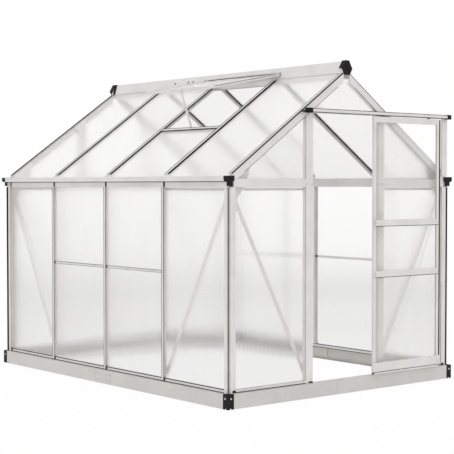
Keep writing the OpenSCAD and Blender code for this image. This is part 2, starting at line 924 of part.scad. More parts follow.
// Hanger plate with its wheel in the rail
module hanger(x) {
  z_axle = rail_z + skin + 0.5 + wheel_r;
  box(x - 14, x + 14, rail_mid - 1.5, rail_mid + 1.5, leaf_top + seat, z_axle);
  along_y(rail_mid - 6, rail_mid + 6) translate([x, z_axle]) circle(wheel_r);
}

module door_hangers() {
  color(black)
    for (x = [leaf_x0 + 90, leaf_x1 - 90]) hanger(x);
}

module door_guides() {
  color(black)
    for (x = [leaf_x0, leaf_x1 - stile_w])
      box(x, x + stile_w, leaf_y0 + 2, leaf_y1 - 2, leaf_z - 10, leaf_z - seat);
}

base_front_rail();
base_rear_rail();
base_left_rails();
base_right_rails();
base_splice_plates();
base_corner_brackets();
side_sills();
gable_sills();
corner_posts();
wall_studs();
door_posts();
rear_posts();
left_eave_gutter();
right_eave_gutter();
gutter_end_caps();
ridge_beam();
ridge_end_caps();
gable_rafters();
roof_bars();
gable_ties();
door_header();
wall_mid_rails();
wall_straps();
gable_straps();
side_braces();
gable_braces();
eave_gussets();
post_gussets();
left_wall_panels();
right_wall_panels();
front_gable_panels();
rear_gable_panels();
left_roof_panels();
right_roof_panels();
vent_frame();
vent_pane();
vent_crossbar();
vent_stay();
door_rail();
door_rail_support();
door_rail_caps();
door_stiles();
door_cross_rails();
door_panes();
door_hangers();
door_guides();
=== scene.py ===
import math

import bmesh
import bpy
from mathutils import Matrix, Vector


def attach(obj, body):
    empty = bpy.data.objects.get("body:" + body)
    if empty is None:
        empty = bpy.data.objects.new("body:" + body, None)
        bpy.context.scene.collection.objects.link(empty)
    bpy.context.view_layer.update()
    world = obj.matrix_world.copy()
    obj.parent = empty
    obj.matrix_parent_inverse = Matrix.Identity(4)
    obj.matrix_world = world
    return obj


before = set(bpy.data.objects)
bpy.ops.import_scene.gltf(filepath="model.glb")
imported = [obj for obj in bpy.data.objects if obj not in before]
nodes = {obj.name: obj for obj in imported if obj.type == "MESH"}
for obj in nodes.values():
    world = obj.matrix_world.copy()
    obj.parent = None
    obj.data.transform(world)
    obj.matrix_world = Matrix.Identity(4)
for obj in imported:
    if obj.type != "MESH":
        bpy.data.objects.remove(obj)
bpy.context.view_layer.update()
print("frame loaded,", len(nodes), "nodes")

# main lines of the greenhouse, metres, as in the solids
house = {
    "half": 0.930, "front": -1.229, "rear": 1.251, "bars": (-0.609, 0.011, 0.631),
    "eave": 1.290, "stem": 1.256, "ridge": 1.970, "slope": 0.7,
    "baseHigh": 0.087, "baseOut": 0.022, "sillTop": 0.104, "depth": 0.030,
}


# camera, light and floor
stageSet = {
    "eye": (-5.460, -6.716, 1.2662), "yaw": -39.477, "dip": 1.883, "lens": 100.30, "sensor": 36,
    "worldLight": 0.97, "sunLight": 0.26, "sunTurn": (38, 8, -62), "sunSoft": 50,
    "floorHalf": 60, "floorColor": (0.90, 0.895, 0.885), "floorShow": 0.95,  # share that shows white
    # painted shade: the floor seen through the sheets glows by metres from the middle, greyest a few metres out and
    # white far away
    "floorReach": 24.0,
    "floorPaintedShade": ((2.5, 0.85), (4.5, 0.84), (6.8, 0.76), (9.5, 0.85), (14.0, 0.94), (22.0, 0.97)),
}


def buildCamera(s):
    data = bpy.data.cameras.new("camera")
    data.lens = s["lens"]
    data.sensor_width = s["sensor"]
    cam = bpy.data.objects.new("camera", data)
    bpy.context.scene.collection.objects.link(cam)
    cam.location = s["eye"]
    cam.rotation_euler = (math.radians(90 - s["dip"]), 0, math.radians(s["yaw"]))
    bpy.context.scene.camera = cam


def largest(tree, first, second):
    pick = tree.nodes.new("ShaderNodeMath")
    pick.operation = "MAXIMUM"
    tree.links.new(first, pick.inputs[0])
    tree.links.new(second, pick.inputs[1])
    return pick.outputs[0]


def timesNumber(tree, value, number):
    times = tree.nodes.new("ShaderNodeMath")
    times.operation = "MULTIPLY"
    times.inputs[1].default_value = number
    tree.links.new(value, times.inputs[0])
    return times.outputs[0]


def seenDirectly(tree, share=1.0):
    # rays that show the backdrop: straight, mirrored, or through the sheets
    path = tree.nodes.new("ShaderNodeLightPath")
    plain = largest(tree, path.outputs["Is Camera Ray"], path.outputs["Is Glossy Ray"])
    return timesNumber(tree, largest(tree, plain, path.outputs["Is Transmission Ray"]), share)


def floorGlowWithPaintedShade(tree, s):
    # white when seen straight; through the sheets, painted shade by distance from the middle
    place = tree.nodes.new("ShaderNodeTexCoord")
    far = tree.nodes.new("ShaderNodeVectorMath")
    far.operation = "LENGTH"
    tree.links.new(place.outputs["Object"], far.inputs[0])
    paintedShade = tree.nodes.new("ShaderNodeValToRGB")
    stops = paintedShade.color_ramp.elements
    while len(stops) < len(s["floorPaintedShade"]):
        stops.new(0.5)
    for stop, (metres, bright) in zip(stops, s["floorPaintedShade"]):
        stop.position = metres / s["floorReach"]
        stop.color = (bright, bright, bright, 1)
    tree.links.new(timesNumber(tree, far.outputs["Value"], 1 / s["floorReach"]), paintedShade.inputs["Fac"])
    path = tree.nodes.new("ShaderNodeLightPath")
    pick = tree.nodes.new("ShaderNodeMix")
    tree.links.new(path.outputs["Is Transmission Ray"], pick.inputs["Factor"])
    pick.inputs["A"].default_value = 1.0
    tree.links.new(paintedShade.outputs["Color"], pick.inputs["B"])
    return pick.outputs["Result"]


def buildLight(s):
    world = bpy.data.worlds.new("studio")
    bpy.context.scene.world = world
    world.use_nodes = True
    tree = world.node_tree
    tree.nodes.clear()
    lit = tree.nodes.new("ShaderNodeBackground")
    lit.inputs["Color"].default_value = (1, 1, 1, 1)
    lit.inputs["Strength"].default_value = s["worldLight"]
    shown = tree.nodes.new("ShaderNodeBackground")
    shown.inputs["Color"].default_value = (1, 1, 1, 1)
    mix = tree.nodes.new("ShaderNodeMixShader")
    out = tree.nodes.new("ShaderNodeOutputWorld")
    tree.links.new(seenDirectly(tree), mix.inputs[0])
    tree.links.new(lit.outputs[0], mix.inputs[1])
    tree.links.new(shown.outputs[0], mix.inputs[2])
    tree.links.new(mix.outputs[0], out.inputs[0])
    data = bpy.data.lights.new("soft_sun", "SUN")
    data.energy = s["sunLight"]
    data.angle = math.radians(s["sunSoft"])
    sun = bpy.data.objects.new("soft_sun", data)
    sun.rotation_euler = [math.radians(a) for a in s["sunTurn"]]
    bpy.context.scene.collection.objects.link(sun)


def buildFloor(s):
    bm = bmesh.new()
    bmesh.ops.create_grid(bm, x_segments=4, y_segments=4, size=s["floorHalf"])
    mesh = bpy.data.meshes.new("floor")
    bm.to_mesh(mesh)
    bm.free()
    floor = bpy.data.objects.new("floor", mesh)
    bpy.context.scene.collection.objects.link(floor)
    mat = bpy.data.materials.new("paleFloor")
    mat.use_nodes = True
    tree = mat.node_tree
    tree.nodes.clear()
    matt = tree.nodes.new("ShaderNodeBsdfDiffuse")
    matt.inputs["Color"].default_value = (*s["floorColor"], 1)
    glow = tree.nodes.new("ShaderNodeEmission")
    tree.links.new(floorGlowWithPaintedShade(tree, s), glow.inputs["Strength"])
    mix = tree.nodes.new("ShaderNodeMixShader")
    out = tree.nodes.new("ShaderNodeOutputMaterial")
    tree.links.new(seenDirectly(tree, s["floorShow"]), mix.inputs[0])
    tree.links.new(matt.outputs[0], mix.inputs[1])
    tree.links.new(glow.outputs[0], mix.inputs[2])
    tree.links.new(mix.outputs[0], out.inputs[0])
    mesh.materials.append(mat)


buildCamera(stageSet)
buildLight(stageSet)
buildFloor(stageSet)
bpy.context.scene.view_settings.view_transform = "Standard"
print("stage ready")


# finishes
def newFinish(name):
    mat = bpy.data.materials.new(name)
    mat.use_nodes = True
    tree = mat.node_tree
    return mat, tree, tree.nodes["Principled BSDF"]


def localPlace(tree, scale=(1, 1, 1)):
    place = tree.nodes.new("ShaderNodeTexCoord")
    size = tree.nodes.new("ShaderNodeMapping")
    size.inputs["Scale"].default_value = scale
    tree.links.new(place.outputs["Object"], size.inputs["Vector"])
    return size.outputs["Vector"]


def noiseAt(tree, scale, stretch=(1, 1, 1), detail=5.0):
    noise = tree.nodes.new("ShaderNodeTexNoise")
    noise.inputs["Scale"].default_value = scale
    noise.inputs["Detail"].default_value = detail
    tree.links.new(localPlace(tree, stretch), noise.inputs["Vector"])
    return noise.outputs["Fac"]


def spread(tree, fac, low, high, start=0.3, end=0.7):
    reach = tree.nodes.new("ShaderNodeMapRange")
    reach.inputs["From Min"].default_value = start
    reach.inputs["From Max"].default_value = end
    reach.inputs["To Min"].default_value = low
    reach.inputs["To Max"].default_value = high
    tree.links.new(fac, reach.inputs["Value"])
    return reach.outputs["Result"]


def twoTone(tree, fac, dark, light, start=0.3, end=0.7):
    ramp = tree.nodes.new("ShaderNodeValToRGB")
    ramp.color_ramp.elements[0].position = start
    ramp.color_ramp.elements[0].color = (*dark, 1)
    ramp.color_ramp.elements[1].position = end
    ramp.color_ramp.elements[1].color = (*light, 1)
    tree.links.new(fac, ramp.inputs["Fac"])
    return ramp.outputs["Color"]


def bumpFrom(tree, fac, strength, distance):
    bump = tree.nodes.new("ShaderNodeBump")
    bump.inputs["Strength"].default_value = strength
    bump.inputs["Distance"].default_value = distance
    tree.links.new(fac, bump.inputs["Height"])
    return bump.outputs["Normal"]


def overClouds(tree, fine, share, clouds, tone):
    # fine pattern laid over soft clouds
    both = tree.nodes.new("ShaderNodeMath")
    both.operation = "MULTIPLY_ADD"
    both.inputs[1].default_value = share
    tree.links.new(fine, both.inputs[0])
    tree.links.new(spread(tree, clouds, *tone), both.inputs[2])
    return both.outputs[0]


# extruded bars: satin metal with faint drawing lines along the bar
alloySet = {"dark": (0.66, 0.65, 0.635), "light": (0.77, 0.76, 0.745), "tones": (0.2, 0.75), "metal": 0.30,
            "rough": (0.34, 0.50), "lines": 420, "linesHigh": 0.00006, "linesShare": 0.35,
            "clouds": 7.0, "cloudTone": (0.10, 0.55)}


def makeAlloy(name, s, stretch):
    mat, tree, skin = newFinish(name)
    drawn = noiseAt(tree, s["lines"], stretch, detail=3.0)
    clouds = noiseAt(tree, s["clouds"])
    mixed = overClouds(tree, drawn, s["linesShare"], clouds, s["cloudTone"])
    tree.links.new(twoTone(tree, mixed, s["dark"], s["light"], *s["tones"]), skin.inputs["Base Color"])
    tree.links.new(spread(tree, drawn, *s["rough"]), skin.inputs["Roughness"])
    tree.links.new(bumpFrom(tree, drawn, strength=0.5, distance=s["linesHigh"]), skin.inputs["Normal"])
    skin.inputs["Metallic"].default_value = s["metal"]
    return mat


# base rails: zinc coated sheet with a fine crystal pattern
zincSet = {"dark": (0.585, 0.570, 0.548), "light": (0.640, 0.625, 0.602), "tones": (0.15, 0.80), "metal": 0.45,
           "rough": (0.38, 0.58), "crystal": 85, "high": 0.0001, "crystalShare": 0.30,
           "clouds": 9.0, "cloudTone": (0.10, 0.60)}


def makeZinc(name, s):
    mat, tree, skin = newFinish(name)
    crystal = tree.nodes.new("ShaderNodeTexVoronoi")
    crystal.inputs["Scale"].default_value = s["crystal"]
    tree.links.new(localPlace(tree), crystal.inputs["Vector"])
    grey = tree.nodes.new("ShaderNodeSeparateColor")
    tree.links.new(crystal.outputs["Color"], grey.inputs[0])
    clouds = noiseAt(tree, s["clouds"], detail=6.0)
    mixed = overClouds(tree, grey.outputs[0], s["crystalShare"], clouds, s["cloudTone"])
    tree.links.new(twoTone(tree, mixed, s["dark"], s["light"], *s["tones"]), skin.inputs["Base Color"])
    tree.links.new(spread(tree, grey.outputs[1], *s["rough"], start=0, end=1), skin.inputs["Roughness"])
    tree.links.new(bumpFrom(tree, grey.outputs[2], strength=0.3, distance=s["high"]), skin.inputs["Normal"])
    skin.inputs["Metallic"].default_value = s["metal"]
    return mat


# twin-wall sheet: clear skins over narrow flutes, so far things blur and near ones stay sharp
sheetSet = {"tint": (0.997, 0.994, 0.987), "pale": (1.0, 1.0, 0.997), "rough": (0.06, 0.11), "ior": 1.40,
            "through": 0.99, "flute": 0.0100, "fluteHigh": 0.00040, "lamp": (0.985, 0.985, 0.98),
            "streaks": 4.0, "streakThin": 9, "streakLong": 0.4}
# the roof's sheets are milkier
roofSheetSet = {**sheetSet, "tint": (0.980, 0.977, 0.974), "pale": (0.995, 0.993, 0.990), "rough": (0.16, 0.20),
                "ior": 1.11, "through": 0.82, "fluteHigh": 0.00013}


def makeSheet(name, s, across):
    mat, tree, skin = newFinish(name)
    flutes = tree.nodes.new("ShaderNodeTexWave")
    flutes.bands_direction = across
    flutes.inputs["Scale"].default_value = math.pi / 10 / s["flute"]  # one wave to a flute
    flutes.inputs["Distortion"].default_value = 0.0
    tree.links.new(localPlace(tree), flutes.inputs["Vector"])
    thin, long = s["streakThin"], s["streakLong"]
    stretch = (long, thin, long) if across == "Y" else (thin, long, long)
    streaks = noiseAt(tree, s["streaks"], stretch)
    tree.links.new(twoTone(tree, streaks, s["tint"], s["pale"]), skin.inputs["Base Color"])
    tree.links.new(spread(tree, streaks, *s["rough"]), skin.inputs["Roughness"])
    waves = bumpFrom(tree, flutes.outputs["Fac"], strength=1.0, distance=s["fluteHigh"])
    tree.links.new(waves, skin.inputs["Normal"])
    skin.inputs["IOR"].default_value = s["ior"]
    skin.inputs["Transmission Weight"].default_value = s["through"]
    # lamps and soft light shine through, a little dimmed
    path = tree.nodes.new("ShaderNodeLightPath")
    clear = tree.nodes.new("ShaderNodeBsdfTransparent")
    clear.inputs["Color"].default_value = (*s["lamp"], 1)
    mix = tree.nodes.new("ShaderNodeMixShader")
    tree.links.new(largest(tree, path.outputs["Is Shadow Ray"], path.outputs["Is Diffuse Ray"]), mix.inputs[0])
    tree.links.new(skin.outputs[0], mix.inputs[1])
    tree.links.new(clear.outputs[0], mix.inputs[2])
    tree.links.new(mix.outputs[0], tree.nodes["Material Output"].inputs["Surface"])
    return mat


# moulded caps, brackets and wheels
plasticSet = {"dark": (0.007, 0.007, 0.0075), "light": (0.017, 0.017, 0.018), "rough": (0.42, 0.62),
              "grain": 900, "grainHigh": 0.00012, "shine": 0.12, "clouds": 24.0}


def makePlastic(name, s):
    mat, tree, skin = newFinish(name)
    grain = noiseAt(tree, s["grain"], detail=2.0)
    clouds = noiseAt(tree, s["clouds"])
    tree.links.new(twoTone(tree, clouds, s["dark"], s["light"]), skin.inputs["Base Color"])
    tree.links.new(spread(tree, grain, *s["rough"]), skin.inputs["Roughness"])
    tree.links.new(bumpFrom(tree, grain, strength=0.5, distance=s["grainHigh"]), skin.inputs["Normal"])
    skin.inputs["Specular IOR Level"].default_value = s["shine"]
    return mat


alongBar = 0.02  # drawing lines run with the bar
alloyUp = makeAlloy("alloyUpright", alloySet, (1, 1, alongBar))
alloyLong = makeAlloy("alloyLengthwise", alloySet, (1, alongBar, 1))
alloyWide = makeAlloy("alloyCrosswise", alloySet, (alongBar, 1, 1))
zinc = makeZinc("zincSheet", zincSet)
sheetLong = makeSheet("twinWallLongSide", sheetSet, "Y")
sheetWide = makeSheet("twinWallGable", sheetSet, "X")
sheetRoof = makeSheet("twinWallRoof", roofSheetSet, "Y")
plastic = makePlastic("blackMoulding", plasticSet)
# black rubber for the seals, and for black strips that stand in for shade lines along the frame: painted shade
sealAndShadeSet = {**plasticSet, "dark": (0.008, 0.008, 0.008), "light": (0.020, 0.020, 0.021), "rough": (0.55, 0.75),
           "grain": 1500, "grainHigh": 0.00005, "shine": 0.06}
sealAndShadeBlack = makePlastic("sealRubberAndPaintedShade", sealAndShadeSet)
# bolts, bright and dark
boltSet = {**zincSet, "dark": (0.50, 0.505, 0.51), "light": (0.68, 0.68, 0.67), "metal": 0.8,
           "rough": (0.25, 0.42), "crystal": 700, "high": 0.00003}
boltZinc = makeZinc("boltZinc", boltSet)
darkBoltSet = {**boltSet, "dark": (0.06, 0.06, 0.062), "light": (0.13, 0.13, 0.13), "metal": 0.4,
               "rough": (0.40, 0.60)}
boltDark = makeZinc("boltDark", darkBoltSet)

finishOf = [
    (alloyUp, "corner_posts wall_studs door_posts rear_posts door_rail_support door_stiles "
              "side_braces gable_braces eave_gussets post_gussets vent_stay"),
    (alloyLong, "side_sills left_eave_gutter right_eave_gutter ridge_beam wall_mid_rails "
                "wall_straps vent_frame vent_crossbar"),
    (alloyWide, "gable_sills gable_rafters roof_bars gable_ties door_header gable_straps "
                "door_rail door_cross_rails"),
    (zinc, "base_front_rail base_rear_rail base_left_rails base_right_rails base_splice_plates"),
    (sheetLong, "left_wall_panels right_wall_panels"),
    (sheetRoof, "left_roof_panels right_roof_panels vent_pane"),
    (sheetWide, "front_gable_panels rear_gable_panels door_panes"),
    (plastic, "base_corner_brackets gutter_end_caps ridge_end_caps door_rail_caps "
              "door_hangers door_guides"),
]
for mat, names in finishOf:
    for name in names.split():
        data = nodes[name].data
        data.materials.clear()
        data.materials.append(mat)
print("finishes on", sum(len(names.split()) for mat, names in finishOf), "nodes")


# small parts, built straight in the frame's metres
lift = 0.00005  # a strip starts this far off the metal, or as far under its face
gap = 0.0001  # a seal stays this far clear of an edge it folds over
upward = (0, 0, 1)
gables = ((house["front"], 1), (house["rear"], -1))  # place along the house, and the way in
baseX = house["half"] + house["baseOut"]
baseY = (house["front"] - house["baseOut"], house["rear"] + house["baseOut"])
roofLen = math.hypot(1, house["slope"])


def addPrism(bm, outline, start, run, side, up):
    start, run, side, up = Vector(start), Vector(run), Vector(side), Vector(up)
    near = [bm.verts.new(start + side * a + up * b) for a, b in outline]
    far = [bm.verts.new(v.co + run) for v in near]
    n = len(outline)
    for i in range(n):
        bm.faces.new((near[i], near[(i + 1) % n], far[(i + 1) % n], far[i]))
    bm.faces.new(near[::-1])
    bm.faces.new(far)


def addTurned(bm, at, axis, rings, sides):
    # rings of (radius, height) round an axis, closed at both ends
    axis = Vector(axis).normalized()
    side = axis.orthogonal().normalized()
    over = axis.cross(side)
    turn = [2 * math.pi * i / sides for i in range(sides)]
    loops = []
    for radius, height in rings:
        middle = Vector(at) + axis * height
        loops.append([bm.verts.new(middle + (side * math.cos(a) + over * math.sin(a)) * radius) for a in turn])
    for low, high in zip(loops, loops[1:]):
        for i in range(sides):
            bm.faces.new((low[i], low[(i + 1) % sides], high[(i + 1) % sides], high[i]))
    bm.faces.new(loops[0][::-1])
    bm.faces.new(loops[-1])


def addBolt(bm, at, axis, s):
    # washer with a softened rim, then a six-sided head with its corners taken off
    r, t, h = s["washer"], s["thick"], s["head"]
    addTurned(bm, at, axis, [(r, 0), (r, t * 0.6), (r * 0.92, t)], sides=16)
    top = Vector(at) + Vector(axis).normalized() * t
    hexR = r * 0.72
    addTurned(bm, top, axis, [(hexR, 0), (hexR, h * 0.75), (hexR * 0.8, h)], sides=6)


def addScrew(bm, at, axis, s):
    # pan head screw with a small hollow for the tool
    r, h = s["washer"] * 0.8, s["head"] * 0.8
    rings = [(r, 0), (r, h * 0.35), (r * 0.86, h * 0.75), (r * 0.55, h), (r * 0.3, h), (r * 0.22, h * 0.55)]
    addTurned(bm, at, axis, rings, sides=14)


def flatStrip(start, end, high, slant):
    # thin strip lying on a face, with slanted sides
    return [(start, -lift), (start + slant, -high), (end - slant, -high), (end, -lift)]


def edgeStrip(edge, wide, high):
    # lies on the cap and folds over its edge
    past, down = 0.0008, 0.0016
    return [(edge - wide, -lift), (edge - wide * 0.85, -high), (edge + past * 0.25, -high),
            (edge + past, -high * 0.4), (edge + past, down), (edge + gap, down), (edge + gap, -lift)]


def roofAt(side, x):
    # point of a slope over the plan
    return side * x, house["ridge"] - house["slope"] * x


def intoRoof(side):
    return (-side * house["slope"] / roofLen, 0, -1 / roofLen)


def slopeRun(side, top, foot):
    x0, z0 = roofAt(side, top)
    x1, z1 = roofAt(side, foot)
    return (x0, z0), (x1 - x0, 0, z1 - z0)


def finishPiece(name, bm, mat, body):
    bmesh.ops.recalc_face_normals(bm, faces=bm.faces[:])
    mesh = bpy.data.meshes.new(name)
    bm.to_mesh(mesh)
    bm.free()
    mesh.materials.append(mat)
    obj = bpy.data.objects.new(name, mesh)
    bpy.context.scene.collection.objects.link(obj)
    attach(obj, body)


# bolts of the base: corner brackets and the joint plate half way along
baseBolts = {"washer": 0.0060, "thick": 0.0012, "head": 0.0045, "cornerIn": 0.0225, "cornerUp": 0.062,
             "jointOut": (0.040, 0.080), "jointUp": (0.027, 0.062)}


def buildBaseBolts(s):
    bm = bmesh.new()
    for side in (-1, 1):
        for y, way in zip(baseY, (1, -1)):
            addBolt(bm, (side * baseX, y + way * s["cornerIn"], s["cornerUp"]), (side, 0, 0), s)
            addBolt(bm, (side * (baseX - s["cornerIn"]), y, s["cornerUp"]), (0, -way, 0), s)
        for out in s["jointOut"]:
            for z in s["jointUp"]:
                for way in (-1, 1):
                    addBolt(bm, (side * baseX, sum(baseY) / 2 + way * out, z), (side, 0, 0), s)
    finishPiece("base_bolts", bm, boltZinc, "greenhouse")


buildBaseBolts(baseBolts)
print("base bolts in")


# screws through the ridge on both sides of its joint
ridgeScrews = {"washer": 0.0085, "head": 0.004, "joint": 0.2838, "along": (-0.163, -0.027, 0.027, 0.178),
               "down": 0.034, "flat": 0.012, "half": 0.032, "top": 2.020, "foot": 1.948}


def buildRidgeScrews(s):
    bm = bmesh.new()
    lean = (s["half"] - s["flat"]) / (s["top"] - s["foot"])
    for side in (-1, 1):
        for along in s["along"]:
            at = (side * (s["flat"] + lean * s["down"]), s["joint"] + along, s["top"] - s["down"])
            addScrew(bm, at, (side, 0, lean), s)
    finishPiece("ridge_screws", bm, boltDark, "greenhouse")


buildRidgeScrews(ridgeScrews)
print("ridge screws in")


# black rubber on the roof bars: a low wedge beside one edge, a strip on the other, a bead underneath; their widths
# are set to stand in for the shade lines beside the bars too, so partly painted shade
roofBarSealAndShade = {"capHalf": 0.0150, "lap": (0.003, 0.002), "wedge": 0.0180, "sheetIn": 0.00245, "line": 0.0065,
               "high": 0.0008, "top": 0.036, "topBesideVent": 0.046, "foot": 0.904,
               "flange": 0.0102, "bead": 0.0148, "beadDeep": (0.0062, 0.0126), "beadSlant": 0.001,
               "beadIn": (0.010, 0.030)}


def buildRoofBarSealsAndShade(s):
    bm = bmesh.new()
    cap, wedge, high = s["capHalf"], s["wedge"], s["high"]
    outer = [(cap - s["lap"][0], -lift), (cap - s["lap"][1], -high), (cap + wedge * 0.2, -high),
             (cap + wedge, s["sheetIn"]), (cap + gap, s["sheetIn"]), (cap + gap, -lift)]
    line = edgeStrip(cap, s["line"], high)
    (low, deep), slant = s["beadDeep"], s["beadSlant"]
    bead = [(s["flange"], low), (s["bead"], low), (s["bead"] - slant, deep - slant), (s["flange"], deep)]
    for side in (-1, 1):
        into = intoRoof(side)
        for i, y in enumerate(house["bars"]):
            besideVent = side < 0 and i < 2
            top = s["topBesideVent"] if besideVent else s["top"]
            (x, z), run = slopeRun(side, top, s["foot"])
            addPrism(bm, outer, (x, y, z), run, (0, side, 0), into)
            addPrism(bm, line, (x, y, z), run, (0, -side, 0), into)
            (x, z), run = slopeRun(side, s["top"] + s["beadIn"][0], s["foot"] - s["beadIn"][1])
            addPrism(bm, bead, (x, y, z), run, (0, -side, 0), into)
    finishPiece("roof_bar_seals_and_shade", bm, sealAndShadeBlack, "greenhouse")


# painted shade: black strips down both edges of the studs, wider on one edge, and thin lines along the rails half way
# up, standing in for the shade lines at these bars' edges
studShadeStrips = {"capHalf": 0.0150, "high": 0.0008, "slant": 0.0006, "endIn": 0.001,
            "wideEdge": (0.0030, 0.0090), "thinEdge": (0.0005, 0.0040),
            "railLines": ((0.7402, 0.0020), (0.7540, 0.0028)), "railIn": (0.0156, 0.0259)}


def buildStudShadeStrips(s):
    bm = bmesh.new()
    foot = house["sillTop"] + s["endIn"]
    run = (0, 0, house["stem"] - s["endIn"] - foot)
    for side in (-1, 1):
        x = side * house["half"]
        for y in house["bars"]:
            for way, (start, end) in ((side, s["wideEdge"]), (-side, s["thinEdge"])):
                flat = flatStrip(s["capHalf"] - end, s["capHalf"] - start, s["high"], s["slant"])
                addPrism(bm, flat, (x, y, foot), run, (0, way, 0), (-side, 0, 0))
        for bar, nextBar in zip(house["bars"], house["bars"][1:]):
            y0, y1 = bar + s["railIn"][0], nextBar - s["railIn"][1]
            for z, wide in s["railLines"]:
                flat = flatStrip(0, wide, s["high"], wide * 0.2)
                addPrism(bm, flat, (x, y0, z), (0, y1 - y0, 0), upward, (-side, 0, 0))
    finishPiece("stud_shade_strips", bm, sealAndShadeBlack, "greenhouse")


# roof vent: strips on the bar below it as (place down the slope, width, height),
# a bead along the pane's upper edge and a thin line on each end of the sash
ventSeal = {"lower": (0.502, 0.0070, 0.0035), "upper": (0.474, 0.0040, 0.0008), "clear": 0.0160,
            "hinge": (-0.0543, 1.9815), "sashSlope": 0.1944, "sashEnds": (-0.657, 0.059), "beadIn": 0.013,
            "lineStart": 0.004, "lineLong": 0.506, "lineDown": (0.0040, 0.0066),
            "lineHigh": 0.0006, "lineSlant": 0.0004}


def buildVentSeals(s):
    bm = bmesh.new()
    y0, y1 = house["bars"][0] + s["clear"], house["bars"][1] - s["clear"]
    down = Vector((-1, 0, -house["slope"])) / roofLen
    for (edge, wide, high), way in ((s["lower"], 1), (s["upper"], -1)):
        x, z = roofAt(-1, edge)
        addPrism(bm, edgeStrip(0.0, wide, high), (x, y0, z), (0, y1 - y0, 0), down * way, intoRoof(-1))
    x, z = s["hinge"]
    y0, y1 = s["sashEnds"]
    bead = [(-0.0001, 0.0003), (-0.0017, 0.0007), (-0.0047, -0.0008), (-0.0052, -0.0032), (-0.0001, -0.0024)]
    addPrism(bm, bead, (x, y0 + s["beadIn"], z), (0, y1 - y0 - 2 * s["beadIn"], 0), (1, 0, 0), upward)
    (top, foot), high, slant = s["lineDown"], s["lineHigh"], s["lineSlant"]
    line = [(-lift, -top), (high, -top - slant), (high, -foot + slant), (-lift, -foot)]
    start, long, slope = s["lineStart"], s["lineLong"], s["sashSlope"]
    run = (-long, 0, -long * slope)
    for y, way in ((y0, -1), (y1, 1)):
        addPrism(bm, line, (x - start, y, z - start * slope), run, (0, way, 0), upward)
    finishPiece("vent_bar_seals", bm, sealAndShadeBlack, "greenhouse")


buildRoofBarSealsAndShade(roofBarSealAndShade)
buildStudShadeStrips(studShadeStrips)
buildVentSeals(ventSeal)
print("bar and vent seals in")


# black sleeve over the ridge ahead of its rear cap
ridgeSleeve = {"y": (1.200, 1.2255), "top": (0.0132, 2.0214), "foot": (0.0335, 1.948), "thick": 0.0012}


def buildRidgeSleeve(s):
    bm = bmesh.new()
    (xt, zt), (xf, zf), t = s["top"], s["foot"], s["thick"]
    outer = [(-xf, zf), (-xt, zt), (xt, zt), (xf, zf)]
    inner = [(xf - t, zf), (xt - t * 0.9, zt - t), (-xt + t * 0.9, zt - t), (-xf + t, zf)]
    y0, y1 = s["y"]
    addPrism(bm, outer + inner, (0, y0, 0), (0, y1 - y0, 0), (1, 0, 0), upward)
    finishPiece("ridge_sleeve", bm, plastic, "greenhouse")


# sills: a lip under the long walls' sheets, and strips along the joint of sill and base; black, standing in partly
# for the shade lines along these joints (painted shade)
sillSealAndShade = {"lipUp": 0.0045, "lipIn": (0.0002, 0.0009), "sheetIn": 0.00245,
            "joint": (0.0003, 0.0046), "high": (0.0006, 0.0008), "slant": (0.0004, 0.0008),
            "sideEnd": 0.038, "gableEnd": 0.054, "postIn": 0.334, "rearBayHalf": 0.274}


def buildSillSealsAndShade(s):
    bm = bmesh.new()
    (lipFoot, lipTop), up = s["lipIn"], s["lipUp"]
    lip = [(lipFoot, 0), (s["sheetIn"], 0), (s["sheetIn"], up), (lipTop, up * 0.8)]
    foot, top = s["joint"]
    strip = [(lift, foot), (-s["high"][0], foot + s["slant"][0]), (-s["high"][1], top - s["slant"][1]), (lift, top)]
    y0, z = house["front"] + s["sideEnd"], house["baseHigh"]
    long = (0, house["rear"] - s["sideEnd"] - y0, 0)
    wide = house["half"] - s["gableEnd"] - s["postIn"]
    for side in (-1, 1):
        outside, inside = side * house["half"], side * (house["half"] - house["depth"])
        addPrism(bm, lip, (outside, y0, house["sillTop"]), long, (-side, 0, 0), upward)
        addPrism(bm, strip, (outside, y0, z), long, (-side, 0, 0), upward)
        addPrism(bm, strip, (inside, y0, z), long, (side, 0, 0), upward)
        for y, way in gables:
            addPrism(bm, strip, (side * s["postIn"], y, z), (side * wide, 0, 0), (0, way, 0), upward)
    bay = s["rearBayHalf"]
    addPrism(bm, strip, (-bay, house["rear"], z), (2 * bay, 0, 0), (0, -1, 0), upward)
    finishPiece("sill_seals_and_shade", bm, sealAndShadeBlack, "greenhouse")


# painted shade: black lip in the corner under the gutters, standing in for the shade there
gutterShadeLip = {"down": 0.0038, "out": 0.0030, "endIn": 0.002}


def buildGutterShadeLip(s):
    bm = bmesh.new()
    out, down = s["out"], s["down"]
    lip = [(0.0, 0.0), (out, 0.0), (out * 0.8, down * 0.7), (0.0, down)]
    y0, y1 = house["front"] + s["endIn"], house["rear"] - s["endIn"]
    for side in (-1, 1):
        addPrism(bm, lip, (side * house["half"], y0, house["eave"]), (0, y1 - y0, 0), (side, 0, 0), (0, 0, -1))
    finishPiece("gutter_shade_lip", bm, sealAndShadeBlack, "greenhouse")


# gable rafters: a lip in the notch, thin lines on the face's lower edge and the top's inner edge, and a broad strip
# on top of the rear one; black, standing in partly for the shade in the notch and along these edges (painted shade)
rafterSealAndShade = {"notch": 0.0068, "lipIn": (0.0004, 0.0012), "top": 0.030, "foot": 0.903,
              "faceLow": 0.0497, "faceLine": 0.0026, "faceHigh": 0.0006, "faceTop": 0.100, "faceFoot": 0.840,
              "innerLine": (0.0255, 0.0292), "rearLine": (0.0020, 0.0216), "high": 0.0008, "slant": (0.0005, 0.0006)}


